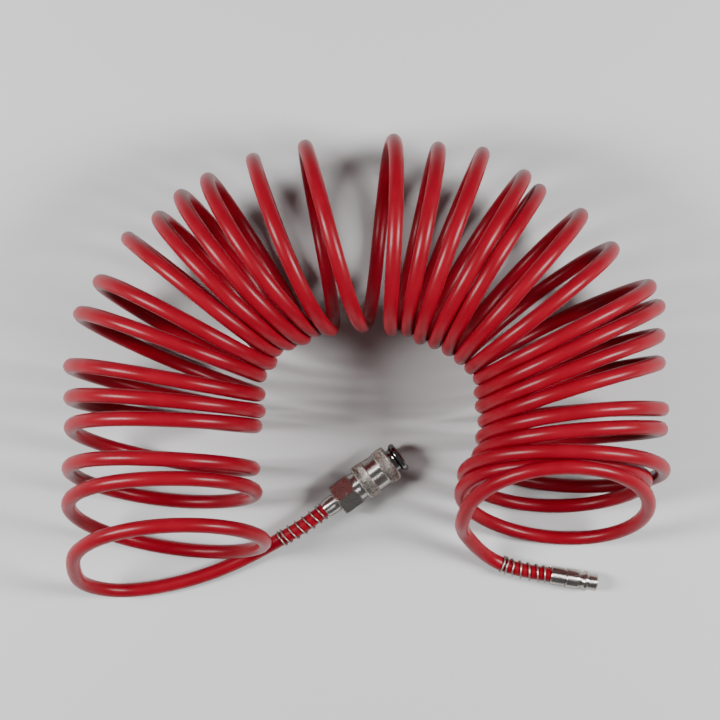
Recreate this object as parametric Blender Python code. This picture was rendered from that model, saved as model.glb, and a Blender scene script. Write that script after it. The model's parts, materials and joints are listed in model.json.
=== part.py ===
"""Coiled recoil air hose lying on a table in an arch, with a quick coupler on one end and a plug on the other.

Metres, +Z up. The hose lies on z = 0, and the origin is under the middle of the whole object.
The coil's arch opens towards -Y. The coupler lies inside the arch, and the plug lies below its +X leg.
Both fittings are modelled along their own +X axis, from the hose towards the open end, and then placed.
"""

import math

import bmesh
import bpy
import numpy as np
from mathutils import Matrix, Vector

MM = 0.001
GAP = 0.3 * MM

# Hose: 8 mm outside, 5 mm inside, wound to a coil 116 mm across
HOSE_RADIUS = 4.0 * MM
COIL_RADIUS = 58.0 * MM
COIL_SKIN = 2.0 * MM
ARCH_RADIUS = 119.5 * MM
ARCH_CENTRE_Y = -36.0 * MM
COUPLER_LEG = 63.0 * MM
PLUG_LEG = 42.0 * MM
COUPLER_END_LEAN = math.radians(14)
PLUG_END_LEAN = math.radians(25)
COIL_SIDES = 28
LEG_STEPS = 4
ARCH_STEPS = 18

# The uncoiled hose, from the coupler's nut and from the plug's ferrule to the turns
COUPLER_ROUTE_MM = [
    (-24.3, -86.7, 11.6), (-37.2, -96.1, 11.2), (-52.0, -105.0, 9.4), (-66.0, -113.0, 6.9),
    (-79.0, -119.6, 4.9), (-92.5, -125.3, 4.1), (-107.0, -130.0, 4.0), (-122.0, -133.6, 4.0),
    (-137.0, -135.9, 5.3), (-151.5, -135.9, 10.5), (-163.5, -132.6, 20.5), (-170.3, -126.8, 34.0),
    (-172.2, -119.2, 49.0), (-170.4, -111.4, 64.0), (-165.0, -104.4, 77.0), (-156.0, -98.6, 88.0),
]
PLUG_ROUTE_MM = [
    (113.9, -127.0, 6.4), (99.5, -124.6, 6.4), (86.2, -121.0, 6.9), (77.0, -116.4, 9.6),
    (69.4, -110.2, 17.0), (63.2, -103.4, 27.0), (58.7, -96.9, 37.0), (56.4, -90.4, 47.0),
    (57.4, -83.8, 57.5), (61.6, -76.4, 69.0),
]
ROUTE_SPACING = 18 * MM

# Spring guards that keep the hose from kinking: where each turn of wire lies, from the fitting outwards.
# The wire lies closer at both ends.
COUPLER_GUARD_STATIONS_MM = (0.9, 3.6, 8.7, 14.1, 19.6, 25.1, 30.1, 32.2)
PLUG_GUARD_STATIONS_MM = (0.9, 4.9, 9.5, 14.9, 20.2, 25.4, 29.2, 31.3)
GUARD_WIRE_RADIUS = 0.5 * MM
GUARD_COIL_RADIUS = 4.95 * MM

# Quick coupler, along its own axis from the nut's hose end (all in mm)
COUPLER_BEARING = math.radians(36.0)
NUT_LENGTH = 9.5
NUT_RADIUS = 5.4
HEX_ACROSS_FLATS = 19.0
HEX_END = 22.0
NECK_END = 31.0
NECK_RADIUS = 8.8
BARB_RADIUS = 2.45
BARB_BORE_RADIUS = 1.7
SLEEVE_START = 27.0
SLEEVE_END = 50.5
SLEEVE_RADIUS = 11.2
SLEEVE_WAIST_RADIUS = 10.6
SLEEVE_BORE_RADIUS = 9.15
SLEEVE_FLANGE = 39.6
SLEEVE_LAND_RADIUS = 8.6
SLEEVE_FRONT_BORE_RADIUS = 9.75
NOSE_END = 57.0
NOSE_RADIUS = 9.2
SOCKET_RADIUS = 6.15
TIP_BORE_RADIUS = 5.15
BODY_RADIUS = 7.1
BALL_RING_RADIUS = 8.0
BALL_STATION = 44.5
BALL_RADIUS = 1.6
BALL_CIRCLE_RADIUS = 6.8
BALL_HOLE_RADIUS = 1.85
BALL_COUNT = 6
SEAT_STATION = 30.3
CHAMBER_START = 16.0
CHAMBER_RADIUS = 5.4
VALVE_START = 27.5
VALVE_STEM_END = 38.0

# Plug of the 7.2 mm European profile, along its own axis from the ferrule's hose end (all in mm)
PLUG_BEARING = math.radians(-9.6)
FERRULE_LENGTH = 8.8
FERRULE_RADIUS = 5.35
PLUG_LENGTH = 28.9
PLUG_COLLAR_RADIUS = 6.0
PLUG_TIP_RADIUS = 5.0
PLUG_BORE_RADIUS = 2.75

ROUND = 36
FINE_ROUND = 24


def clear_scene():
    for old in list(bpy.data.objects):
        bpy.data.objects.remove(old, do_unlink=True)


def material(name, colour, roughness, metallic=0.0):
    made = bpy.data.materials.new(name)
    made.use_nodes = True
    shader = made.node_tree.nodes["Principled BSDF"]
    shader.inputs["Base Color"].default_value = (*colour, 1.0)
    shader.inputs["Roughness"].default_value = roughness
    shader.inputs["Metallic"].default_value = metallic
    return made


def hose_red():
    return material("hose_polyurethane", (0.36, 0.008, 0.018), 0.22)


def nickel():
    return material("nickel_plated_steel", (0.62, 0.60, 0.57), 0.24, 1.0)


def satin_nickel():
    return material("satin_nickel", (0.55, 0.52, 0.49), 0.42, 1.0)


def dark_chrome():
    return material("hardened_steel_chromed", (0.42, 0.41, 0.40), 0.10, 1.0)


def spring_wire():
    return material("spring_steel_wire", (0.52, 0.49, 0.46), 0.28, 1.0)


def seal_rubber():
    return material("nitrile_rubber", (0.012, 0.012, 0.013), 0.55)


def brass():
    return material("turned_brass", (0.70, 0.50, 0.22), 0.30, 1.0)


def add_object(name, mesh, finish, parent=None, origin=None):
    """A node. With an origin, the mesh is moved so that the object's origin is there."""
    made = bpy.data.objects.new(name, mesh)
    bpy.context.scene.collection.objects.link(made)
    made.data.materials.append(finish)
    made.parent = parent
    if origin is not None:
        mesh.transform(Matrix.Translation(-Vector(origin)))
        made.location = origin
    return made


def finish_mesh(bm, name, smooth_angle=35):
    bmesh.ops.recalc_face_normals(bm, faces=bm.faces)
    mesh = bpy.data.meshes.new(name)
    bm.to_mesh(mesh)
    bm.free()
    mesh.shade_smooth()
    mesh.set_sharp_from_angle(angle=math.radians(smooth_angle))
    return mesh


def hex_radius(angle, across_flats):
    """Distance from the axis to a hexagon's side. A corner points along +Z and -Z."""
    sector = math.pi / 3
    from_flat = (angle - math.pi / 2) % sector - sector / 2
    return across_flats / 2 / math.cos(from_flat)


def turned(name, profile_mm, sides=ROUND):
    """A turned piece about the X axis. The profile is a closed outline of (x, radius) or, where a
    hexagon cuts into it, (x, radius, across_flats), in mm. A radius of 0 puts a point on the axis."""
    bm = bmesh.new()
    rings = []
    for x, radius, *flats in profile_mm:
        if radius == 0:
            rings.append([bm.verts.new((x * MM, 0, 0))] * sides)
            continue
        ring = []
        for k in range(sides):
            angle = 2 * math.pi * k / sides
            r = min(radius, hex_radius(angle, flats[0])) if flats else radius
            ring.append(bm.verts.new((x * MM, r * MM * math.cos(angle), r * MM * math.sin(angle))))
        rings.append(ring)
    for first, second in zip(rings, rings[1:] + rings[:1]):
        for k in range(sides):
            n = (k + 1) % sides
            corners = list(dict.fromkeys([first[k], first[n], second[n], second[k]]))
            if len(corners) > 2:
                bm.faces.new(corners)
    return finish_mesh(bm, name)


def smooth_line(points, spacing):
    """Points evenly spaced along a Catmull-Rom curve through the given ones."""
    dense = []
    last = len(points) - 1
    for i in range(last):
        p1, p2 = points[i], points[i + 1]
        p0 = points[i - 1] if i else p1 * 2 - p2
        p3 = points[i + 2] if i + 2 <= last else p2 * 2 - p1
        for k in range(24):
            f = k / 24
            dense.append(
                0.5 * (p1 * 2 + (p2 - p0) * f + (p0 * 2 - p1 * 5 + p2 * 4 - p3) * f * f
                       + (p1 * 3 - p0 - p2 * 3 + p3) * f ** 3)
            )
    dense.append(points[-1])
    run = [0.0]
    for a, b in zip(dense, dense[1:]):
        run.append(run[-1] + (b - a).length)
    count = max(2, round(run[-1] / spacing))
    wanted = [run[-1] * k / count for k in range(count + 1)]
    return [Vector([np.interp(w, run, [p[axis] for p in dense]) for axis in range(3)]) for w in wanted]


def line_length(points):
    return sum((b - a).length for a, b in zip(points, points[1:]))


def stretch(points, start, end, count):
    """Evenly spaced points of a line, between two distances along it."""
    run = [0.0]
    for a, b in zip(points, points[1:]):
        run.append(run[-1] + (b - a).length)
    wanted = [start + (end - start) * k / count for k in range(count + 1)]
    return [Vector([np.interp(w, run, [p[axis] for p in points]) for axis in range(3)]) for w in wanted]


def hose_length(name, points, finish):
    """A free length of hose: a bevelled curve with closed ends."""
    curve = bpy.data.curves.new(name, "CURVE")
    curve.dimensions = "3D"
    curve.bevel_depth = HOSE_RADIUS
    curve.bevel_resolution = 3
    curve.use_fill_caps = True
    spline = curve.splines.new("POLY")
    spline.points.add(len(points) - 1)
    for slot, p in zip(spline.points, points):
        slot.co = (*p, 1.0)
    made = bpy.data.objects.new(name, curve)
    bpy.context.scene.collection.objects.link(made)
    curve.materials.append(finish)
    return made


def frames_along(points):
    """A direction and two crossing unit vectors at each point, turned no more than the line itself."""
    side = None
    frames = []
    for i, p in enumerate(points):
        ahead = points[min(i + 1, len(points) - 1)] - points[max(i - 1, 0)]
        ahead.normalize()
        if side is None:
            side = ahead.cross(Vector((0, 0, 1))).normalized()
        side = (side - ahead * side.dot(ahead)).normalized()
        frames.append((p, ahead, side, ahead.cross(side)))
    return frames


def wire(name, points, radius, sides=6):
    """A round wire along a list of points, with flat ends."""
    bm = bmesh.new()
    rings = []
    for p, _, side, up in frames_along(points):
        rings.append(
            [
                bm.verts.new(p + side * radius * math.cos(a) + up * radius * math.sin(a))
                for a in (2 * math.pi * k / sides for k in range(sides))
            ]
        )
    for first, second in zip(rings, rings[1:]):
        for k in range(sides):
            n = (k + 1) % sides
            bm.faces.new((first[k], first[n], second[n], second[k]))
    bm.faces.new(rings[0])
    bm.faces.new(rings[-1])
    return finish_mesh(bm, name, 60)


def helix_about(centre_line, stations, coil_radius, per_turn=12):
    """Points of a right-handed spring. The stations are the distances along the centre line at which
    each turn starts, and the last one is where the wire ends."""
    run = [0.0]
    for a, b in zip(centre_line, centre_line[1:]):
        run.append(run[-1] + (b - a).length)
    frames = frames_along(centre_line)
    points = []
    for k in range((len(stations) - 1) * per_turn + 1):
        turn = k / per_turn
        along = np.interp(turn, range(len(stations)), stations)
        i = min(max(int(np.searchsorted(run, along)) - 1, 0), len(run) - 2)
        f = (along - run[i]) / (run[i + 1] - run[i])
        centre = frames[i][0].lerp(frames[i + 1][0], f)
        side = frames[i][2].lerp(frames[i + 1][2], f).normalized()
        up = frames[i][3].lerp(frames[i + 1][3], f).normalized()
        angle = 2 * math.pi * turn
        points.append(centre + side * coil_radius * math.cos(angle) + up * coil_radius * math.sin(angle))
    return points


def coil_sections():
    """Centre, outward direction and lean of each cross-section of the coil, from the coupler's end
    over the arch to the plug's end. A leaning turn's top tips towards the middle of the arch."""
    sections = []
    for k in range(LEG_STEPS):
        left = 1 - k / LEG_STEPS
        centre = Vector((-ARCH_RADIUS, ARCH_CENTRE_Y - COUPLER_LEG * left, 0))
        sections.append((centre, Vector((-1, 0, 0)), COUPLER_END_LEAN * left))
    for k in range(ARCH_STEPS + 1):
        angle = math.pi * (1 - k / ARCH_STEPS)
        outward = Vector((math.cos(angle), math.sin(angle), 0))
        sections.append((outward * ARCH_RADIUS + Vector((0, ARCH_CENTRE_Y, 0)), outward, 0.0))
    for k in range(1, LEG_STEPS + 1):
        done = k / LEG_STEPS
        centre = Vector((ARCH_RADIUS, ARCH_CENTRE_Y - PLUG_LEG * done, 0))
        sections.append((centre, Vector((1, 0, 0)), -PLUG_END_LEAN * done))
    return sections


def coil_ring(bm, centre, outward, lean, radius):
    """One ring of the coil's skin. Its lowest point touches the table when radius is COIL_RADIUS."""
    along = outward.cross(Vector((0, 0, 1)))
    up = Vector((0, 0, math.cos(lean))) + along * math.sin(lean)
    middle = centre + Vector((0, 0, COIL_RADIUS * math.cos(lean)))
    return [
        bm.verts.new(middle + outward * radius * math.sin(a) + up * radius * math.cos(a))
        for a in (2 * math.pi * k / COIL_SIDES for k in range(COIL_SIDES))
    ]


def hose_coil(finish):
    """The wound stretch, as one fat tube of the turns' outer shape with a skin that weighs what they do."""
    bm = bmesh.new()
    sections = coil_sections()
    outer = [coil_ring(bm, *section, COIL_RADIUS) for section in sections]
    inner = [coil_ring(bm, *section, COIL_RADIUS - COIL_SKIN) for section in sections]
    walk = outer + inner[::-1]
    for first, second in zip(walk, walk[1:] + walk[:1]):
        for k in range(COIL_SIDES):
            n = (k + 1) % COIL_SIDES
            bm.faces.new((first[k], first[n], second[n], second[k]))
    return add_object("hose_coil", finish_mesh(bm, "hose_coil"), finish)


def hose_from_fitting(name, points_mm, finish):
    """An uncoiled end of the hose, starting just clear of its fitting. Returns the line it follows."""
    line = smooth_line([Vector(p) * MM for p in points_mm], ROUTE_SPACING)
    line = stretch(line, GAP, line_length(line), len(line) - 1)
    hose_length(name, line, finish)
    return line


def spring_guard(name, hose_line, stations_mm, finish):
    """A spring round the hose behind a fitting."""
    centre = stretch(hose_line, 0, (stations_mm[-1] + 1) * MM, 18)
    stations = [x * MM for x in stations_mm]
    points = helix_about(centre, stations, GUARD_COIL_RADIUS)
    add_object(name, wire(name, points, GUARD_WIRE_RADIUS), finish)


def fitting_frame(name, place, bearing):
    """An empty that carries a fitting: its +X runs along the fitting's axis."""
    empty = bpy.data.objects.new(name, None)
    bpy.context.scene.collection.objects.link(empty)
    empty.location = place
    empty.rotation_euler = (0, 0, bearing)
    return empty


def coupler_clamp_nut(frame, finish):
    """Squeezes the hose onto the barb. Its hose end is tapered."""
    outline = [
        (0, 4.3), (0, NUT_RADIUS - 0.7), (2.2, NUT_RADIUS - 0.25), (NUT_LENGTH - 1.6, NUT_RADIUS),
        (NUT_LENGTH - 0.3, NUT_RADIUS), (NUT_LENGTH - 0.3, 4.3),
    ]
    return add_object("coupler_clamp_nut", turned("coupler_clamp_nut", outline), finish, frame)


def coupler_adapter(frame, finish):
    """Hexagon, round neck behind the sleeve, hose barb inside the nut, and the valve chamber."""
    corner = HEX_ACROSS_FLATS / math.sqrt(3)
    flats = HEX_ACROSS_FLATS
    outline = [
        (0.3, BARB_BORE_RADIUS), (0.3, BARB_RADIUS - 0.35), (1.6, BARB_RADIUS), (NUT_LENGTH, BARB_RADIUS),
        (NUT_LENGTH, 8.8, flats), (NUT_LENGTH + 1.0, corner - 0.15, flats),
        (NUT_LENGTH + 1.3, corner, flats), (HEX_END - 1.5, corner, flats),
        (HEX_END - 1.1, corner - 0.3, flats), (HEX_END, NECK_RADIUS, flats),
        (HEX_END + 0.2, NECK_RADIUS), (NECK_END, NECK_RADIUS),
        (NECK_END, 6.7), (24.0, 6.7), (24.0, CHAMBER_RADIUS), (CHAMBER_START, CHAMBER_RADIUS),
        (CHAMBER_START - 1.0, BARB_BORE_RADIUS),
    ]
    return add_object("coupler_adapter", turned("coupler_adapter", outline), finish, frame)


def ball_hole_cutter(frame):
    """Six short radial rods that cut the ball holes."""
    bm = bmesh.new()
    for k in range(BALL_COUNT):
        turn = Matrix.Rotation(2 * math.pi * k / BALL_COUNT, 4, "X")
        place = Matrix.Translation((BALL_STATION * MM, 0, BALL_CIRCLE_RADIUS * MM))
        bmesh.ops.create_cone(
            bm, cap_ends=True, segments=16, radius1=BALL_HOLE_RADIUS * MM,
            radius2=BALL_HOLE_RADIUS * MM, depth=4 * MM, matrix=turn @ place,
        )
    mesh = bpy.data.meshes.new("ball_hole_cutter")
    bm.to_mesh(mesh)
    bm.free()
    cutter = bpy.data.objects.new("ball_hole_cutter", mesh)
    bpy.context.scene.collection.objects.link(cutter)
    cutter.parent = frame
    cutter.hide_render = True
    cutter.display_type = "WIRE"
    return cutter


def coupler_body(frame, finish):
    """Front body: screwed tail, ball ring, and the nose round the socket, with the valve seat inside."""
    outline = [
        (24.3, 6.35), (26.0, 6.35), (26.0, 5.65), (27.6, 5.65), (27.6, 6.35),
        (NECK_END + GAP / MM, 6.35), (NECK_END + GAP / MM, BODY_RADIUS), (42.0, BODY_RADIUS),
        (42.0, BALL_RING_RADIUS), (49.5, BALL_RING_RADIUS), (50.3, 7.2), (51.8, 7.2), (52.8, 7.6),
        (53.6, 8.4), (54.2, NOSE_RADIUS), (56.2, NOSE_RADIUS), (NOSE_END, NOSE_RADIUS - 0.7),
        (NOSE_END, SOCKET_RADIUS + 0.6),
        (NOSE_END - 0.7, SOCKET_RADIUS), (39.0, SOCKET_RADIUS), (38.8, TIP_BORE_RADIUS),
        (37.2, TIP_BORE_RADIUS), (37.2, 6.3), (34.6, 6.3), (34.6, TIP_BORE_RADIUS),
        (32.0, TIP_BORE_RADIUS), (31.8, 4.0), (SEAT_STATION, 4.0), (SEAT_STATION, 5.1), (24.3, 5.1),
    ]
    made = add_object("coupler_body", turned("coupler_body", outline), finish, frame)
    cut = made.modifiers.new("ball_holes", "BOOLEAN")
    cut.operation = "DIFFERENCE"
    cut.object = ball_hole_cutter(frame)
    return made


def coupler_sleeve(frame, finish):
    """Release sleeve: slides back over the neck. Its inner flange carries the sleeve spring, the land
    in front of it holds the balls in, and the open front lets them out when the sleeve is back."""
    band = (SLEEVE_END - SLEEVE_START) / 3
    rear, front = SLEEVE_START + band, SLEEVE_END - band
    outline = [
        (SLEEVE_START, SLEEVE_BORE_RADIUS), (SLEEVE_START, SLEEVE_RADIUS - 0.6),
        (SLEEVE_START + 0.6, SLEEVE_RADIUS),
        (rear, SLEEVE_RADIUS), (rear + 0.4, SLEEVE_WAIST_RADIUS), (front - 0.4, SLEEVE_WAIST_RADIUS),
        (front, SLEEVE_RADIUS), (SLEEVE_END - 1.0, SLEEVE_RADIUS), (SLEEVE_END, SLEEVE_RADIUS - 0.9),
        (SLEEVE_END, SLEEVE_FRONT_BORE_RADIUS), (46.3, SLEEVE_FRONT_BORE_RADIUS),
        (44.7, SLEEVE_LAND_RADIUS), (41.6, SLEEVE_LAND_RADIUS), (41.6, 7.5), (SLEEVE_FLANGE, 7.5),
        (SLEEVE_FLANGE, SLEEVE_BORE_RADIUS),
    ]
    return add_object("coupler_sleeve", turned("coupler_sleeve", outline), finish, frame)


def straight_spring(name, start_mm, end_mm, turns, coil_radius_mm, wire_radius_mm, frame, finish):
    """A spring with evenly spaced turns about a fitting's axis. Its wire's ends lie between the two places."""
    length = (end_mm - start_mm) * MM
    axis = [Vector((start_mm * MM + length * k / 8, 0, 0)) for k in range(9)]
    margin = wire_radius_mm * MM
    stations = [margin + (length - 2 * margin) * k / turns for k in range(turns + 1)]
    points = helix_about(axis, stations, coil_radius_mm * MM, per_turn=16)
    return add_object(name, wire(name, points, wire_radius_mm * MM), finish, frame)


def sleeve_spring(frame, finish):
    """Pushes the sleeve forward, from the neck's shoulder to the sleeve's inner flange."""
    start, end = NECK_END + 0.3, SLEEVE_FLANGE - 0.4
    return straight_spring("sleeve_spring", start, end, 4, 7.95, 0.45, frame, finish)


def valve_spring(frame, finish):
    """Pushes the valve disc onto its seat, from the bottom of the adapter's chamber."""
    start, end = CHAMBER_START + 0.3, VALVE_START - 0.3
    return straight_spring("valve_spring", start, end, 5, 3.9, 0.35, frame, finish)


def locking_balls(frame, finish):
    """Six balls in the ball ring. Each has its origin at its centre, on its radial slide."""
    for k in range(BALL_COUNT):
        name = f"locking_ball_{k + 1}"
        bm = bmesh.new()
        bmesh.ops.create_icosphere(bm, subdivisions=2, radius=BALL_RADIUS * MM)
        ball = add_object(name, finish_mesh(bm, name, 180), finish, frame)
        angle = 2 * math.pi * k / BALL_COUNT
        across = BALL_CIRCLE_RADIUS * MM
        ball.location = (BALL_STATION * MM, -across * math.sin(angle), across * math.cos(angle))


def valve_poppet(frame, finish):
    """Valve disc behind the seat, with a three-finned stem that the plug's tip pushes."""
    start = VALVE_START
    head = [
        (start, 0), (start, 3.4), (start + 0.4, 4.7), (start + 1.1, 4.7), (start + 1.1, 2.0),
        (start + 2.7, 2.0), (start + 2.7, 0),
    ]
    made = add_object("valve_poppet", turned("valve_poppet", head, FINE_ROUND), finish, frame)
    bm = bmesh.new()
    star = []
    for k in range(12):
        angle = 2 * math.pi * k / 12
        radius = (3.4, 3.4, 1.3, 1.3)[k % 4]
        spread = (-0.16, -0.36, 0, 0)[k % 4]
        star.append((radius * MM * math.cos(angle + spread), radius * MM * math.sin(angle + spread)))
    ends = [[bm.verts.new((x * MM, y, z)) for y, z in star] for x in (start + 2.6, VALVE_STEM_END)]
    for k in range(12):
        n = (k + 1) % 12
        bm.faces.new((ends[0][k], ends[0][n], ends[1][n], ends[1][k]))
    bm.faces.new(ends[0])
    bm.faces.new(ends[1])
    bmesh.ops.recalc_face_normals(bm, faces=bm.faces)
    fins_mesh = bpy.data.meshes.new("valve_stem_shape")
    bm.to_mesh(fins_mesh)
    bm.free()
    fins = bpy.data.objects.new("valve_stem_shape", fins_mesh)
    bpy.context.scene.collection.objects.link(fins)
    fins.parent = frame
    fins.hide_render = True
    fins.display_type = "WIRE"
    join = made.modifiers.new("stem", "BOOLEAN")
    join.operation = "UNION"
    join.object = fins
    return made


def ring_seal(name, station, mid_radius, half_width, half_height, frame, finish):
    """A rubber ring of rounded square section about the axis."""
    w, h = half_width, half_height
    outline = [
        (station - w, mid_radius - h * 0.4), (station - w, mid_radius + h * 0.4),
        (station - w * 0.4, mid_radius + h), (station + w * 0.4, mid_radius + h),
        (station + w, mid_radius + h * 0.4), (station + w, mid_radius - h * 0.4),
        (station + w * 0.4, mid_radius - h), (station - w * 0.4, mid_radius - h),
    ]
    return add_object(name, turned(name, outline, FINE_ROUND), finish, frame)


def plug_ferrule(frame, finish):
    outline = [
        (0, 4.3), (0, FERRULE_RADIUS - 0.5), (0.5, FERRULE_RADIUS), (FERRULE_LENGTH - 0.3, FERRULE_RADIUS),
        (FERRULE_LENGTH, FERRULE_RADIUS - 0.3), (FERRULE_LENGTH, 4.3),
    ]
    return add_object("plug_ferrule", turned("plug_ferrule", outline), finish, frame)


def plug_body(frame, finish):
    """Hose barb, collar, ball groove, ring and tip, with the air passage through all of them."""
    start = FERRULE_LENGTH + GAP / MM
    outline = [
        (0.3, BARB_BORE_RADIUS), (0.3, BARB_RADIUS - 0.35), (1.6, BARB_RADIUS), (start, BARB_RADIUS),
        (start, 5.0), (start + 0.4, 5.0), (start + 0.4, 5.6), (start + 0.9, PLUG_COLLAR_RADIUS),
        (16.2, PLUG_COLLAR_RADIUS), (17.2, 5.7), (18.3, 4.6), (19.3, 4.6), (20.1, 5.5),
        (20.7, PLUG_COLLAR_RADIUS),
        (22.0, PLUG_COLLAR_RADIUS), (22.7, 5.6), (23.0, 4.7), (23.6, 4.7), (23.8, PLUG_TIP_RADIUS),
        (PLUG_LENGTH - 0.7, PLUG_TIP_RADIUS), (PLUG_LENGTH, PLUG_TIP_RADIUS - 0.6),
        (PLUG_LENGTH, PLUG_BORE_RADIUS), (12.0, PLUG_BORE_RADIUS), (11.0, BARB_BORE_RADIUS),
    ]
    return add_object("plug_body", turned("plug_body", outline), finish, frame)


def build():
    clear_scene()
    red, wire_finish, rubber = hose_red(), spring_wire(), seal_rubber()
    bright, satin, dark, yellow = nickel(), satin_nickel(), dark_chrome(), brass()

    hose_coil(red)
    coupler_line = hose_from_fitting("hose_coupler_end", COUPLER_ROUTE_MM, red)
    plug_line = hose_from_fitting("hose_plug_end", PLUG_ROUTE_MM, red)
    spring_guard("coupler_spring_guard", coupler_line, COUPLER_GUARD_STATIONS_MM, wire_finish)
    spring_guard("plug_spring_guard", plug_line, PLUG_GUARD_STATIONS_MM, wire_finish)

    coupler = fitting_frame("coupler_frame", Vector(COUPLER_ROUTE_MM[0]) * MM, COUPLER_BEARING)
    coupler_clamp_nut(coupler, bright)
    coupler_adapter(coupler, bright)
    coupler_body(coupler, dark)
    coupler_sleeve(coupler, satin)
    sleeve_spring(coupler, wire_finish)
    locking_balls(coupler, bright)
    valve_poppet(coupler, yellow)
    ring_seal("valve_seal", SEAT_STATION - 0.9, 3.5, 0.5, 1.15, coupler, rubber)
    valve_spring(coupler, wire_finish)
    ring_seal("socket_seal", 35.9, 5.6, 1.0, 0.6, coupler, rubber)
    ring_seal("body_seal", 26.8, 6.17, 0.5, 0.27, coupler, rubber)

    plug = fitting_frame("plug_frame", Vector(PLUG_ROUTE_MM[0]) * MM, PLUG_BEARING)
    plug_ferrule(plug, bright)
    plug_body(plug, bright)


build()
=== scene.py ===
"""Looks of the coiled recoil air hose: the wound hose itself, its spring guards, coupler and plug.

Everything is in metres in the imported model's frame: +Z up, the hose lying on z = 0, its arch open to -Y.
"""

import json
import math

import bmesh
import bpy
from mathutils import Matrix, Vector


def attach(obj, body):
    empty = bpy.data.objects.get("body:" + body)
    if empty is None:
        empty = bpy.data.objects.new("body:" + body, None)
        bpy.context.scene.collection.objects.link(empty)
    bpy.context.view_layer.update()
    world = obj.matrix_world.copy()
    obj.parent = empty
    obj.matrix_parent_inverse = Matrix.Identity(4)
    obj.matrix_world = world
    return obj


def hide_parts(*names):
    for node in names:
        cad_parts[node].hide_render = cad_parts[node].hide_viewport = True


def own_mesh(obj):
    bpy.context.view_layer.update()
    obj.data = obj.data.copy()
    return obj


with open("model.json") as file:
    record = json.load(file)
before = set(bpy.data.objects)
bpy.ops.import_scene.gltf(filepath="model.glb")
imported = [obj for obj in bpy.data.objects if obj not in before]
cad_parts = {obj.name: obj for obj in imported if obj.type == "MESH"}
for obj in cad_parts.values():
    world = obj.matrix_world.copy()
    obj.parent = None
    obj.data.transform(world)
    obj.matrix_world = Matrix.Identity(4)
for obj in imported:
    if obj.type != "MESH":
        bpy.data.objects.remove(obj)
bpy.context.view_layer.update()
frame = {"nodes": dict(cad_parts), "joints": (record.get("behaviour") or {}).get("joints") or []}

MM = 0.001

# Hose and coil. The hose is drawn a little thicker than its nominal 8 mm.
HOSE_DIAMETER = 8.6 * MM
COIL_HALF_HEIGHT_MM = 53.0
ARCH_CENTRE = Vector((0.0, -0.036, 0.0))
CONTROL_STEPS = 16
CURVE_STEPS = 3

# The uncoiled hose, from the coupler's nut to the first turn and from the plug's ferrule to the last one
COUPLER_ROUTE_MM = [
    (-24.3, -86.7, 11.6), (-37.2, -96.1, 11.2), (-52.0, -105.0, 9.4), (-66.0, -113.0, 6.9),
    (-79.0, -119.6, 5.1), (-92.5, -125.3, 4.4), (-107.0, -130.0, 4.4), (-122.0, -133.6, 4.5),
    (-137.0, -135.9, 5.3), (-151.5, -135.9, 10.5), (-163.5, -132.6, 20.5), (-170.3, -126.8, 34.0),
]
PLUG_ROUTE_MM = [
    (113.9, -127.0, 6.4), (99.5, -124.6, 6.4), (86.2, -121.0, 6.9), (77.0, -116.4, 9.6),
    (69.4, -110.2, 17.0), (63.2, -103.4, 27.0), (58.7, -96.9, 37.0),
]

# How each turn lies, from the coupler's end over the arch to the plug's end.
# A turn's outermost and innermost points have a bearing about the arch's centre (degrees from +X) and a
# distance from it (mm). The two leans (degrees) tip its upper and its lower half towards the next turn.
TURNS = [
    (205.5, 189, 228, 88, 22.8, 21), (195, 179, 209.5, 73.5, 17.7, 16), (188, 174, 199, 69, 9.4, 11),
    (180, 171, 178, 64, 8, 5), (174, 172, 170, 63, 4, 4), (168, 175, 161.5, 65.5, 1, 3),
    (158, 178.5, 152.5, 69, 2, 3), (151, 176.5, 144.7, 68, 0, -5), (141, 177, 138, 70, -3, -6),
    (134, 172, 130.9, 67, -6, -6), (128, 173, 124, 64.5, -7, -5), (122, 172, 116.4, 65, -9, -2),
    (112.5, 170, 109.2, 62, -7, -4), (102, 168.5, 91, 61, -6, -5), (84.5, 169, 75, 61, -2, -3.5),
    (75.5, 169, 67, 63.5, -3, -3), (67, 174.5, 59, 63, -5, 0), (58, 174, 51.5, 65.5, -3.5, 0),
    (54, 172, 44, 68, -6, -2), (45, 177, 37, 70, -3.5, 0), (36.5, 178, 30.5, 72, -3, 0),
    (27, 185, 24.2, 73.5, -2, 0), (23, 185, 17.9, 71, -3, 0), (18, 179, 11.4, 69.5, -4, 0),
    (13, 175, 4.2, 69.9, -7, -2), (4, 173, -3.7, 68.5, -9.9, -7), (0, 172, -12.8, 68, -12.2, -19),
    (-8.2, 175.5, -23.5, 63.5, -16.9, -23.5), (-10.8, 167.5, -33, 67.5, -20.2, -28.5),
    (-16, 172, -43, 78, -32, -30),
]
# The last turn but one has slid down between its neighbours, and the last one is pulled open.
HALF_HEIGHTS_MM = [COIL_HALF_HEIGHT_MM] * (len(TURNS) - 2) + [48.8, 59.4, 57.0]

# Spring guards: how far from the fitting each turn of wire starts, and where the last one ends (mm)
COUPLER_GUARD_STATIONS_MM = (0.9, 3.6, 8.7, 14.1, 19.6, 25.1, 30.1, 32.2)
PLUG_GUARD_STATIONS_MM = (0.9, 4.9, 9.5, 14.9, 20.2, 25.4, 29.2, 31.3)
GUARD_WIRE_RADIUS = 0.5 * MM
GUARD_COIL_RADIUS = 5.0 * MM

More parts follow.
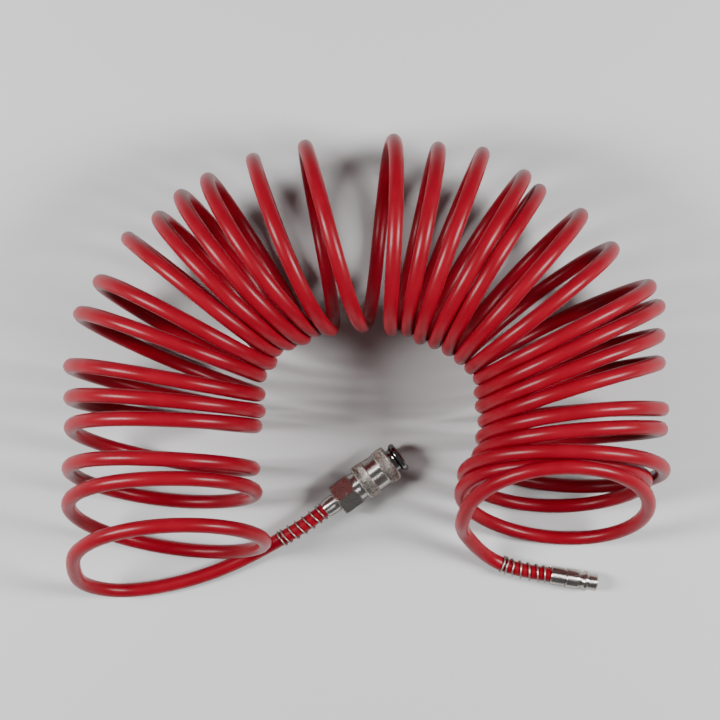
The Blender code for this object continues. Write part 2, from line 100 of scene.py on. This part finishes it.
# Quick coupler along its own axis, from the nut's hose end (mm)
NUT_LENGTH = 9.5
NUT_RADIUS = 5.6
HEX_ACROSS_FLATS = 19.0
HEX_END = 22.8
NECK_END = 31.0
NECK_RADIUS = 8.8
BARB_RADIUS = 2.45
BARB_BORE_RADIUS = 1.7
SLEEVE_START = 27.0
SLEEVE_END = 50.5
SLEEVE_RADIUS = 11.2
SLEEVE_WAIST_RADIUS = 10.6
KNURLS_ROUND = 84
KNURL_DEPTH = 0.42
NOSE_END = 57.0
NOSE_RADIUS = 9.2
SOCKET_RADIUS = 6.15
TIP_BORE_RADIUS = 5.15
BODY_RADIUS = 7.1
BALL_RING_RADIUS = 8.0
SEAT_STATION = 30.3

# Springs inside the coupler: start and end along its axis, number of turns, radii of coil and wire (mm)
SLEEVE_SPRING_MM = (NECK_END + 0.3, 39.2, 4, 7.95, 0.45)
VALVE_SPRING_MM = (16.3, 27.2, 5, 3.9, 0.35)

# Plug along its own axis, from the ferrule's hose end (mm)
PLUG_BEARING = math.radians(-9.6)
FERRULE_LENGTH = 8.8
FERRULE_RADIUS = 5.6
PLUG_LENGTH = 28.9
PLUG_COLLAR_RADIUS = 6.0
PLUG_TIP_RADIUS = 5.0
PLUG_BORE_RADIUS = 2.75

# Camera: straight above, 1.042 m over the table
CAMERA_PLACE = Vector((-0.0029, 0.0048, 1.042))
CAMERA_LENS_MM = 84.45

# Studio: two softboxes that face the middle of the table
FLOOR_HALF_SIZE = 12.0
SOFTBOX_ASIDE = 0.90
SOFTBOX_ABOVE = 0.80
SOFTBOX_WIDTH = 0.26
SOFTBOX_HEIGHT = 0.56
SOFTBOX_WATTS = 24


# ---------------------------------------------------------------- shapes

def catmull(values, position):
    """A smooth value between the evenly spaced ones. Position 0 is the first value."""
    i = min(max(math.floor(position), 0), len(values) - 2)
    f = position - i
    b, c = values[i], values[i + 1]
    a = values[i - 1] if i else b * 2 - c
    d = values[i + 2] if i + 2 < len(values) else c * 2 - b
    straight, curved = c - a, a * 2 - b * 5 + c * 4 - d
    return (b * 2 + straight * f + curved * f * f + (b * 3 - a - c * 3 + d) * f ** 3) * 0.5


def bearing_point(degrees, distance_mm):
    angle = math.radians(degrees)
    return ARCH_CENTRE + Vector((math.cos(angle), math.sin(angle), 0)) * distance_mm * MM


def coil_points():
    """The coil's centreline, CONTROL_STEPS points a turn. Each turn is an upright ellipse that reaches
    from its outermost point over the top to its innermost point, and along the table to the next turn."""
    outer = [bearing_point(turn[0], turn[1]) for turn in TURNS]
    inner = [bearing_point(turn[2], turn[3]) for turn in TURNS]
    leans = [lean for turn in TURNS for lean in turn[4:]]
    points = []
    for step in range(round((len(TURNS) - 0.5) * CONTROL_STEPS) + 1):
        turn = step / CONTROL_STEPS
        out, into = catmull(outer, turn), catmull(inner, turn - 0.5)
        reach = (out - into) / 2
        lean = math.radians(catmull(leans, 2 * turn - 0.5))
        half_height = catmull(HALF_HEIGHTS_MM, turn - 0.25) * MM
        forward = Vector((reach.y, -reach.x, 0)).normalized()
        phase = 2 * math.pi * turn
        level = (out + into) / 2 + reach * math.cos(phase)
        tip = forward * math.sin(lean) * math.sin(phase)
        rise = HOSE_DIAMETER / 2 + half_height * math.cos(lean) * (1 + math.sin(phase))
        points.append(level + tip * half_height + Vector((0, 0, rise)))
    return points


def route(points_mm):
    """The points in metres."""
    return [Vector(p) * MM for p in points_mm]


def smooth_line(points, steps):
    """A smooth line through the points, with so many steps from each point to the next."""
    last = len(points) - 1
    return [catmull(points, k / steps) for k in range(last * steps)] + [points[-1]]


def point_at(points, distance):
    """The point of a line at a distance along it, and the line's direction there."""
    for a, b in zip(points, points[1:]):
        step = (b - a).length
        if distance <= step:
            return a.lerp(b, distance / step), (b - a).normalized()
        distance -= step
    return points[-1], (points[-1] - points[-2]).normalized()


def add_piece(name, data, body, finish, replaced):
    """Adds a piece that rides on a body and stands for the replaced CAD nodes."""
    made = bpy.data.objects.new(name, data)
    bpy.context.scene.collection.objects.link(made)
    data.materials.append(finish)
    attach(made, body)
    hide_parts(*replaced)
    return made


def finish_mesh(bm, name, smooth_angle=35):
    """A smooth-shaded mesh that is sharp where its faces meet at more than the angle in degrees."""
    bmesh.ops.recalc_face_normals(bm, faces=bm.faces)
    mesh = bpy.data.meshes.new(name)
    bm.to_mesh(mesh)
    bm.free()
    mesh.shade_smooth()
    mesh.set_sharp_from_angle(angle=math.radians(smooth_angle))
    return mesh


def hex_radius(angle):
    """Distance from the axis to the hexagon's side. A corner points straight up."""
    sector = math.pi / 3
    from_flat = (angle - math.pi / 2) % sector - sector / 2
    return HEX_ACROSS_FLATS / 2 / math.cos(from_flat)


def rounded(outline, radius, steps=3):
    """The closed outline with each corner sharper than 20 degrees rounded, where there is room."""
    made = []
    count = len(outline)
    for i in range(count):
        a, b, c = (Vector(outline[(i + k) % count][:2]) for k in (-1, 0, 1))
        flats = outline[i][2:]
        before, after = a - b, c - b
        turn = math.pi - before.angle(after)
        room = min(before.length, after.length) * 0.45
        cut = min(radius * math.tan(turn / 2), room)
        if turn < math.radians(20) or b.y == 0:
            made.append(outline[i])
            continue
        start, end = b + before.normalized() * cut, b + after.normalized() * cut
        for k in range(steps + 1):
            f = k / steps
            p = start.lerp(b, f).lerp(b.lerp(end, f), f)
            made.append((p.x, p.y, *flats))
    return made


def turned(outline, sides=96, ripple=None):
    """A turned mesh about the X axis. The outline is closed: (x, radius) in mm, with a third value where a
    hexagon cuts into it. ripple(x, radius, turn) gives what is added to the radius."""
    bm = bmesh.new()
    rings = []
    for x, radius, *flats in outline:
        if radius == 0:
            rings.append([bm.verts.new((x * MM, 0, 0))] * sides)
            continue
        ring = []
        for k in range(sides):
            angle = 2 * math.pi * k / sides
            r = min(radius, hex_radius(angle)) if flats else radius
            if ripple:
                r += ripple(x, radius, k / sides)
            ring.append(bm.verts.new((x * MM, r * MM * math.cos(angle), r * MM * math.sin(angle))))
        rings.append(ring)
    for first, second in zip(rings, rings[1:] + rings[:1]):
        for k in range(sides):
            n = (k + 1) % sides
            corners = list(dict.fromkeys([first[k], first[n], second[n], second[k]]))
            if len(corners) > 2:
                bm.faces.new(corners)
    return bm


def coupler_place():
    """From the coupler's own axis to the model's frame. The axis runs against the sleeve's slide."""
    slide = next(j for j in frame["joints"] if j["name"] == "sleeve_slide")
    bearing = math.atan2(-slide["axis"][1], -slide["axis"][0])
    return Matrix.Translation(route(COUPLER_ROUTE_MM)[0]) @ Matrix.Rotation(bearing, 4, "Z")


def plug_place():
    return Matrix.Translation(route(PLUG_ROUTE_MM)[0]) @ Matrix.Rotation(PLUG_BEARING, 4, "Z")


def turned_piece(name, bm, place, body, finish, replaced, smooth_angle=35):
    bm.transform(place)
    return add_piece(name, finish_mesh(bm, name, smooth_angle), body, finish, (replaced,))


# ---------------------------------------------------------------- hose

def hose_line():
    return smooth_line(route(COUPLER_ROUTE_MM) + coil_points() + route(PLUG_ROUTE_MM)[::-1], CURVE_STEPS)


def make_hose(line, finish):
    curve = bpy.data.curves.new("hose", "CURVE")
    curve.dimensions = "3D"
    curve.bevel_depth = HOSE_DIAMETER / 2
    curve.bevel_resolution = 5
    curve.use_fill_caps = True
    curve.twist_mode = "MINIMUM"
    spline = curve.splines.new("POLY")
    spline.points.add(len(line) - 1)
    for knot, p in zip(spline.points, line):
        knot.co = (*p, 1.0)
    spline.use_smooth = True
    return add_piece("hose", curve, "hose", finish, ("hose_coil", "hose_coupler_end", "hose_plug_end"))


def wound_wire(line, stations_mm, coil_radius, wire_radius):
    """A right-handed spring of round wire about a line. The stations are where each turn starts, as
    distances along the line, and the last one is where the wire ends."""
    per_turn = 28
    sides = 10
    turns = len(stations_mm) - 1
    centres = []
    for k in range(turns * per_turn + 1):
        whole, part = divmod(k, per_turn)
        before, after = stations_mm[whole], stations_mm[min(whole + 1, turns)]
        centre, ahead = point_at(line, (before + (after - before) * part / per_turn) * MM)
        side = ahead.cross(Vector((0, 0, 1))).normalized()
        up = ahead.cross(side)
        angle = 2 * math.pi * part / per_turn
        centres.append(centre + (side * math.cos(angle) + up * math.sin(angle)) * coil_radius)
    bm = bmesh.new()
    rings = []
    for i, p in enumerate(centres):
        ahead = (centres[min(i + 1, len(centres) - 1)] - centres[max(i - 1, 0)]).normalized()
        side = ahead.cross(point_at(line, 0)[1]).normalized()
        up = ahead.cross(side)
        rings.append(
            [
                bm.verts.new(p + (side * math.cos(a) + up * math.sin(a)) * wire_radius)
                for a in (2 * math.pi * k / sides for k in range(sides))
            ]
        )
    for first, second in zip(rings, rings[1:]):
        for k in range(sides):
            n = (k + 1) % sides
            bm.faces.new((first[k], first[n], second[n], second[k]))
    bm.faces.new(rings[0])
    bm.faces.new(rings[-1])
    return bm


def make_guard(name, line, stations_mm, finish, replaced):
    """The spring about the hose behind a fitting."""
    bm = wound_wire(line, stations_mm, GUARD_COIL_RADIUS, GUARD_WIRE_RADIUS)
    return add_piece(name, finish_mesh(bm, name, 60), "hose", finish, (replaced,))


def make_inner_spring(name, sizes_mm, place, finish):
    """A spring inside the coupler. Its hose end stays where it is."""
    start_mm, end_mm, turns, coil_radius, wire_radius = sizes_mm
    axis = [Vector((start_mm * MM, 0, 0)), Vector((end_mm * MM, 0, 0))]
    room = end_mm - start_mm - 2 * wire_radius
    stations = [wire_radius + room * k / turns for k in range(turns + 1)]
    bm = wound_wire(axis, stations, coil_radius * MM, wire_radius * MM)
    bm.transform(place)
    piece_name = name.replace("_spring", "_return_spring")
    made = add_piece(piece_name, finish_mesh(bm, piece_name, 60), "hose", finish, (name,))
    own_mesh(made)


# ---------------------------------------------------------------- coupler

def make_nut(place, finish):
    outline = rounded([
        (0, 4.3), (0, NUT_RADIUS - 0.7), (2.2, NUT_RADIUS - 0.1), (NUT_LENGTH - 1.2, NUT_RADIUS),
        (NUT_LENGTH - 0.9, NUT_RADIUS - 0.35), (NUT_LENGTH - 0.3, NUT_RADIUS - 0.35), (NUT_LENGTH - 0.3, 4.3),
    ], 0.3)
    turned_piece("clamp_nut", turned(outline), place, "hose", finish,
                 "coupler_clamp_nut")


def make_adapter(place, finish):
    corner = HEX_ACROSS_FLATS / math.sqrt(3)
    chamfer = corner - HEX_ACROSS_FLATS / 2 + 0.35
    drop = chamfer * math.tan(math.radians(30))
    steps = 8
    rear = [(NUT_LENGTH + drop * k / steps, corner - chamfer * (1 - k / steps), 1) for k in range(steps + 1)]
    front = [(HEX_END - drop * (1 - k / steps), corner - chamfer * k / steps, 1) for k in range(steps + 1)]
    outline = [
        (0.3, BARB_BORE_RADIUS), (0.3, BARB_RADIUS - 0.35), (1.6, BARB_RADIUS), (NUT_LENGTH, BARB_RADIUS),
        *rear, *front,
        (HEX_END + 0.02, NECK_RADIUS + 0.25), (HEX_END + 0.3, NECK_RADIUS + 0.03),
        (HEX_END + 0.6, NECK_RADIUS), (NECK_END - 0.3, NECK_RADIUS), (NECK_END, NECK_RADIUS - 0.3),
        (NECK_END, 6.7), (24.0, 6.7), (24.0, 5.4), (16.0, 5.4), (15.0, BARB_BORE_RADIUS),
    ]
    turned_piece("adapter", turned(outline), place, "hose", finish,
                 "coupler_adapter", 20)


def make_body(place, finish):
    outline = rounded([
        (24.3, 6.35), (26.0, 6.35), (26.0, 5.65), (27.6, 5.65), (27.6, 6.35), (NECK_END + 0.3, 6.35),
        (NECK_END + 0.3, BODY_RADIUS), (42.0, BODY_RADIUS), (42.0, BALL_RING_RADIUS),
        (49.5, BALL_RING_RADIUS), (50.3, 7.2), (51.8, 7.2), (52.8, 7.55), (53.5, 8.3),
        (54.0, NOSE_RADIUS - 0.1), (54.3, NOSE_RADIUS), (56.1, NOSE_RADIUS), (NOSE_END, NOSE_RADIUS - 0.8),
        (NOSE_END, SOCKET_RADIUS + 0.6), (NOSE_END - 0.7, SOCKET_RADIUS), (39.0, SOCKET_RADIUS),
        (38.8, TIP_BORE_RADIUS), (37.2, TIP_BORE_RADIUS), (37.2, 6.3), (34.6, 6.3),
        (34.6, TIP_BORE_RADIUS), (32.0, TIP_BORE_RADIUS), (31.8, 4.0), (SEAT_STATION, 4.0),
        (SEAT_STATION, 5.1), (24.3, 5.1),
    ], 0.22)
    turned_piece("socket_body", turned(outline), place, "hose", finish,
                 "coupler_body")


def make_sleeve(place, waist_finish, knurl_finish):
    """Release sleeve with a diamond knurl on its two raised bands."""
    band = (SLEEVE_END - SLEEVE_START) / 3
    rear, front = SLEEVE_START + band, SLEEVE_END - band
    pitch = 2 * math.pi * SLEEVE_RADIUS / KNURLS_ROUND
    knurl_bands = [(SLEEVE_START + 0.75, rear - 0.35), (front + 0.35, SLEEVE_END - 1.25)]

    def knurl(x, radius, turn):
        """Depth of the crossing grooves at a place on a band."""
        for start, end in knurl_bands:
            if start < x < end and radius == SLEEVE_RADIUS:
                along = (x - start) / pitch
                round_it = turn * KNURLS_ROUND
                sides = [abs((round_it + way * along) % 1 - 0.5) * 2 for way in (-1, 1)]
                return KNURL_DEPTH * (min(1 - s for s in sides) * 1.4 - 0.7)
        return 0

    def band_rows(start, end):
        rows = round((end - start) / pitch * 4)
        return [(start + (end - start) * k / rows, SLEEVE_RADIUS) for k in range(rows + 1)]

    outline = [
        (SLEEVE_START, 9.15), (SLEEVE_START, SLEEVE_RADIUS - 0.7),
        (SLEEVE_START + 0.15, SLEEVE_RADIUS - 0.4), (SLEEVE_START + 0.45, SLEEVE_RADIUS - 0.1),
        *band_rows(*knurl_bands[0]), (rear - 0.1, SLEEVE_RADIUS - 0.1),
        (rear + 0.25, SLEEVE_WAIST_RADIUS), (rear + 0.4, SLEEVE_WAIST_RADIUS),
        (front - 0.4, SLEEVE_WAIST_RADIUS), (front - 0.25, SLEEVE_WAIST_RADIUS),
        (front + 0.1, SLEEVE_RADIUS - 0.1), *band_rows(*knurl_bands[1]),
        (SLEEVE_END - 0.9, SLEEVE_RADIUS - 0.1), (SLEEVE_END - 0.1, SLEEVE_RADIUS - 0.9),
        (SLEEVE_END, SLEEVE_RADIUS - 1.1), (SLEEVE_END, 9.9), (SLEEVE_END - 0.15, 9.75),
        (46.3, 9.75), (44.7, 8.6), (41.6, 8.6), (41.6, 7.5), (39.6, 7.5), (39.6, 9.15),
    ]
    bm = turned(outline, KNURLS_ROUND * 4, knurl)
    for face in bm.faces:
        x, y, z = face.calc_center_median() / MM
        raised = math.hypot(y, z) > (SLEEVE_RADIUS + SLEEVE_WAIST_RADIUS) / 2 - 0.1
        face.material_index = 1 if raised and (x < rear or x > front) else 0
    made = turned_piece("release_sleeve", bm, place, "sleeve", waist_finish,
                        "coupler_sleeve", 55)
    made.data.materials.append(knurl_finish)


# ---------------------------------------------------------------- plug

def make_ferrule(place, finish):
    """Ferrule with fine turned grooves round it."""
    groove_pitch = 0.62
    first, last = 0.8, FERRULE_LENGTH - 0.8
    grooves = []
    for k in range(int((last - first) / groove_pitch)):
        x = first + k * groove_pitch
        grooves += [
            (x, FERRULE_RADIUS), (x + 0.34, FERRULE_RADIUS),
            (x + 0.44, FERRULE_RADIUS - 0.16), (x + 0.52, FERRULE_RADIUS - 0.16),
        ]
    outline = [
        (0, 4.3), (0, FERRULE_RADIUS - 0.6), (0.15, FERRULE_RADIUS - 0.25), (0.5, FERRULE_RADIUS), *grooves,
        (FERRULE_LENGTH - 0.4, FERRULE_RADIUS), (FERRULE_LENGTH - 0.1, FERRULE_RADIUS - 0.2),
        (FERRULE_LENGTH, FERRULE_RADIUS - 0.5), (FERRULE_LENGTH, 4.3),
    ]
    return turned_piece("ferrule", turned(outline), place, "hose", finish,
                        "plug_ferrule", 25)


def make_plug(place, finish):
    start = FERRULE_LENGTH + 0.3
    outline = rounded([
        (0.3, BARB_BORE_RADIUS), (0.3, BARB_RADIUS - 0.35), (1.6, BARB_RADIUS), (start, BARB_RADIUS),
        (start, 5.0), (start + 0.5, 5.0), (start + 0.5, PLUG_COLLAR_RADIUS - 0.25),
        (start + 0.8, PLUG_COLLAR_RADIUS), (16.6, PLUG_COLLAR_RADIUS), (17.3, 5.7), (18.3, 4.6), (19.2, 4.6),
        (20.1, 5.6), (20.6, PLUG_COLLAR_RADIUS), (22.0, PLUG_COLLAR_RADIUS), (22.7, 5.6), (23.0, 4.7),
        (23.6, 4.7), (23.8, PLUG_TIP_RADIUS), (PLUG_LENGTH - 0.8, PLUG_TIP_RADIUS),
        (PLUG_LENGTH, PLUG_TIP_RADIUS - 0.6), (PLUG_LENGTH, PLUG_BORE_RADIUS + 0.3),
        (PLUG_LENGTH - 0.3, PLUG_BORE_RADIUS), (12.0, PLUG_BORE_RADIUS), (11.0, BARB_BORE_RADIUS),
    ], 0.25)
    return turned_piece("plug", turned(outline), place, "hose", finish,
                        "plug_body")


# ---------------------------------------------------------------- materials

def new_material(name):
    """A material, its Principled shader, and a function that adds a linked node."""
    made = bpy.data.materials.new(name)
    made.use_nodes = True
    tree = made.node_tree
    shader = tree.nodes["Principled BSDF"]

    def node(kind, links=(), **settings):
        added = tree.nodes.new(kind)
        for key, value in settings.items():
            if hasattr(added, key):
                setattr(added, key, value)
            else:
                added.inputs[key].default_value = value
        for socket, source in links:
            tree.links.new(source, added.inputs[socket])
        return added

    return made, shader, node, tree


def ramp(node, source, low, high):
    """Maps a texture's value to a colour between low and high."""
    made = node("ShaderNodeValToRGB", [("Fac", source)])
    made.color_ramp.elements[0].position = 0.35
    made.color_ramp.elements[1].position = 0.65
    made.color_ramp.elements[0].color = (*low, 1)
    made.color_ramp.elements[1].color = (*high, 1)
    return made.outputs["Color"]


def spread(node, source, low, high):
    """Maps a texture's value to a number between low and high."""
    made = node("ShaderNodeMapRange", [("Value", source)])
    made.inputs["From Min"].default_value = 0.3
    made.inputs["From Max"].default_value = 0.7
    made.inputs["To Min"].default_value = low
    made.inputs["To Max"].default_value = high
    return made.outputs["Result"]


def noise(node, scale, detail=4.0):
    place = node("ShaderNodeTexCoord").outputs["Object"]
    return node("ShaderNodeTexNoise", [("Vector", place)], Scale=scale, Detail=detail)


def bump(node, tree, shader, source, distance):
    """Raises the surface by a texture's value, up to a distance in metres."""
    made = node("ShaderNodeBump", [("Height", source)], Strength=1.0, Distance=distance)
    tree.links.new(made.outputs["Normal"], shader.inputs["Normal"])


def hose_material():
    """Glossy red polyurethane with a faint cloud in its colour and a slightly wavy skin."""
    made, shader, node, tree = new_material("hose_red_polyurethane")
    clouds = noise(node, 60.0, 3.0)
    colour = ramp(node, clouds.outputs["Fac"], (0.190, 0.0024, 0.0090), (0.220, 0.0034, 0.0115))
    tree.links.new(colour, shader.inputs["Base Color"])
    gloss = noise(node, 90.0, 2.0)
    tree.links.new(spread(node, gloss.outputs["Fac"], 0.28, 0.34), shader.inputs["Roughness"])
    bump(node, tree, shader, noise(node, 140.0, 2.0).outputs["Fac"], 0.00006)
    shader.inputs["Subsurface Weight"].default_value = 0.08
    shader.inputs["Subsurface Radius"].default_value = (1.0, 0.12, 0.08)
    shader.inputs["Subsurface Scale"].default_value = 0.002
    shader.inputs["IOR"].default_value = 1.28
    return made


def metal(name, low, high, smooth, rough, grain, grain_height, axis=None, cloud=220.0):
    """Plated metal: cloudy colour, roughness that varies with fine handling marks, and a light grain.
    On a turned piece, tool marks round its axis smear the reflections along that axis."""
    made, shader, node, tree = new_material(name)
    clouds = noise(node, cloud, 4.0)
    tree.links.new(ramp(node, clouds.outputs["Fac"], low, high), shader.inputs["Base Color"])
    marks = noise(node, 1500.0, 3.0)
    tree.links.new(spread(node, marks.outputs["Fac"], smooth, rough), shader.inputs["Roughness"])
    bump(node, tree, shader, noise(node, grain, 2.0).outputs["Fac"], grain_height)
    shader.inputs["Metallic"].default_value = 1.0
    shader.inputs["Specular Tint"].default_value = (0.42, 0.38, 0.36, 1)
    if axis:
        along = node("ShaderNodeCombineXYZ", X=axis.x, Y=axis.y, Z=axis.z)
        tree.links.new(along.outputs["Vector"], shader.inputs["Tangent"])
        shader.inputs["Anisotropic"].default_value = 0.95
    return made


def bright_nickel(name, place):
    return metal(name, (0.50, 0.48, 0.45), (0.57, 0.55, 0.52), 0.26, 0.32, 1200.0, 0.000004, place.col[0])


def satin_nickel():
    return metal("satin_nickel_knurl", (0.30, 0.275, 0.25), (0.78, 0.73, 0.68), 0.30, 0.42, 1400.0, 0.00006,
                 cloud=800.0)


def mirror_chrome():
    return metal("mirror_chrome", (0.24, 0.24, 0.24), (0.30, 0.30, 0.29), 0.06, 0.12, 1500.0, 0.000004)


def guard_wire():
    return metal("guard_wire", (0.34, 0.30, 0.27), (0.43, 0.39, 0.35), 0.34, 0.44, 3000.0, 0.000004)


def turned_brass():
    return metal("turned_brass_finish", (0.66, 0.46, 0.18), (0.74, 0.54, 0.25), 0.20, 0.32, 3000.0, 0.00001)


def seal_rubber():
    made, shader, node, tree = new_material("seal_rubber")
    clouds = noise(node, 400.0)
    tree.links.new(
        ramp(node, clouds.outputs["Fac"], (0.010, 0.010, 0.011), (0.018, 0.018, 0.019)),
        shader.inputs["Base Color"],
    )
    tree.links.new(spread(node, clouds.outputs["Fac"], 0.45, 0.60), shader.inputs["Roughness"])
    bump(node, tree, shader, noise(node, 3000.0).outputs["Fac"], 0.00002)
    return made


def refinish(node_name, finish):
    """Gives a CAD node that stays in view its finished material."""
    data = frame["nodes"][node_name].data
    data.materials.clear()
    data.materials.append(finish)


# ---------------------------------------------------------------- studio

def make_floor():
    bm = bmesh.new()
    bmesh.ops.create_grid(bm, x_segments=1, y_segments=1, size=FLOOR_HALF_SIZE)
    mesh = bpy.data.meshes.new("floor")
    bm.to_mesh(mesh)
    bm.free()
    floor = bpy.data.objects.new("floor", mesh)
    bpy.context.scene.collection.objects.link(floor)
    paper, shader, _, _ = new_material("white_paper")
    shader.inputs["Base Color"].default_value = (0.52, 0.52, 0.52, 1)
    shader.inputs["Roughness"].default_value = 0.9
    shader.inputs["Specular IOR Level"].default_value = 0.1
    mesh.materials.append(paper)


def make_softbox(name, place):
    light = bpy.data.lights.new(name, "AREA")
    light.shape = "RECTANGLE"
    light.size = SOFTBOX_WIDTH
    light.size_y = SOFTBOX_HEIGHT
    light.energy = SOFTBOX_WATTS
    lamp = bpy.data.objects.new(name, light)
    bpy.context.scene.collection.objects.link(lamp)
    lamp.location = place
    lamp.rotation_euler = (-Vector(place)).to_track_quat("-Z", "Y").to_euler()


def make_studio():
    """Two softboxes beside the camera, and surroundings that are pale at the horizon and dim overhead."""
    make_floor()
    make_softbox("softbox_left", (-SOFTBOX_ASIDE, 0.0, SOFTBOX_ABOVE))
    make_softbox("softbox_right", (SOFTBOX_ASIDE, 0.0, SOFTBOX_ABOVE))
    world = bpy.data.worlds.new("studio")
    world.use_nodes = True
    tree = world.node_tree
    direction = tree.nodes.new("ShaderNodeTexCoord")
    split = tree.nodes.new("ShaderNodeSeparateXYZ")
    shades = tree.nodes.new("ShaderNodeValToRGB")
    shades.color_ramp.elements[0].position = 0.12
    shades.color_ramp.elements[0].color = (0.22, 0.22, 0.22, 1)
    shades.color_ramp.elements[1].position = 0.42
    shades.color_ramp.elements[1].color = (0.12, 0.12, 0.12, 1)
    tree.links.new(direction.outputs["Generated"], split.inputs["Vector"])
    tree.links.new(split.outputs["Z"], shades.inputs["Fac"])
    tree.links.new(shades.outputs["Color"], tree.nodes["Background"].inputs["Color"])
    bpy.context.scene.world = world


def make_camera():
    data = bpy.data.cameras.new("camera")
    data.sensor_width = 36.0
    data.lens = CAMERA_LENS_MM
    data.clip_start = 0.05
    data.clip_end = 20.0
    camera = bpy.data.objects.new("camera", data)
    bpy.context.scene.collection.objects.link(camera)
    camera.location = CAMERA_PLACE
    camera.rotation_euler = (0, 0, 0)
    bpy.context.scene.camera = camera


# ---------------------------------------------------------------- the object

def main():
    chrome, wire = mirror_chrome(), guard_wire()
    line = hose_line()
    hose = make_hose(line, hose_material())
    coupler_guard = make_guard("coupler_guard", line, COUPLER_GUARD_STATIONS_MM, wire, "coupler_spring_guard")
    plug_guard = make_guard("plug_guard", line[::-1], PLUG_GUARD_STATIONS_MM, wire, "plug_spring_guard")

    at_coupler, at_plug = coupler_place(), plug_place()
    coupler_nickel = bright_nickel("coupler_nickel", at_coupler)
    plug_nickel = bright_nickel("plug_nickel", at_plug)
    make_nut(at_coupler, coupler_nickel)
    make_adapter(at_coupler, coupler_nickel)
    make_body(at_coupler, chrome)
    make_sleeve(at_coupler, coupler_nickel, satin_nickel())
    ferrule = make_ferrule(at_plug, plug_nickel)
    plug = make_plug(at_plug, plug_nickel)

    make_inner_spring("sleeve_spring", SLEEVE_SPRING_MM, at_coupler, wire)
    make_inner_spring("valve_spring", VALVE_SPRING_MM, at_coupler, wire)
    for name in ("valve_seal", "socket_seal", "body_seal"):
        refinish(name, seal_rubber())
    refinish("valve_poppet", turned_brass())
    for name in frame["nodes"]:
        if name.startswith("locking_ball"):
            refinish(name, chrome)

    make_studio()
    make_camera()


main()
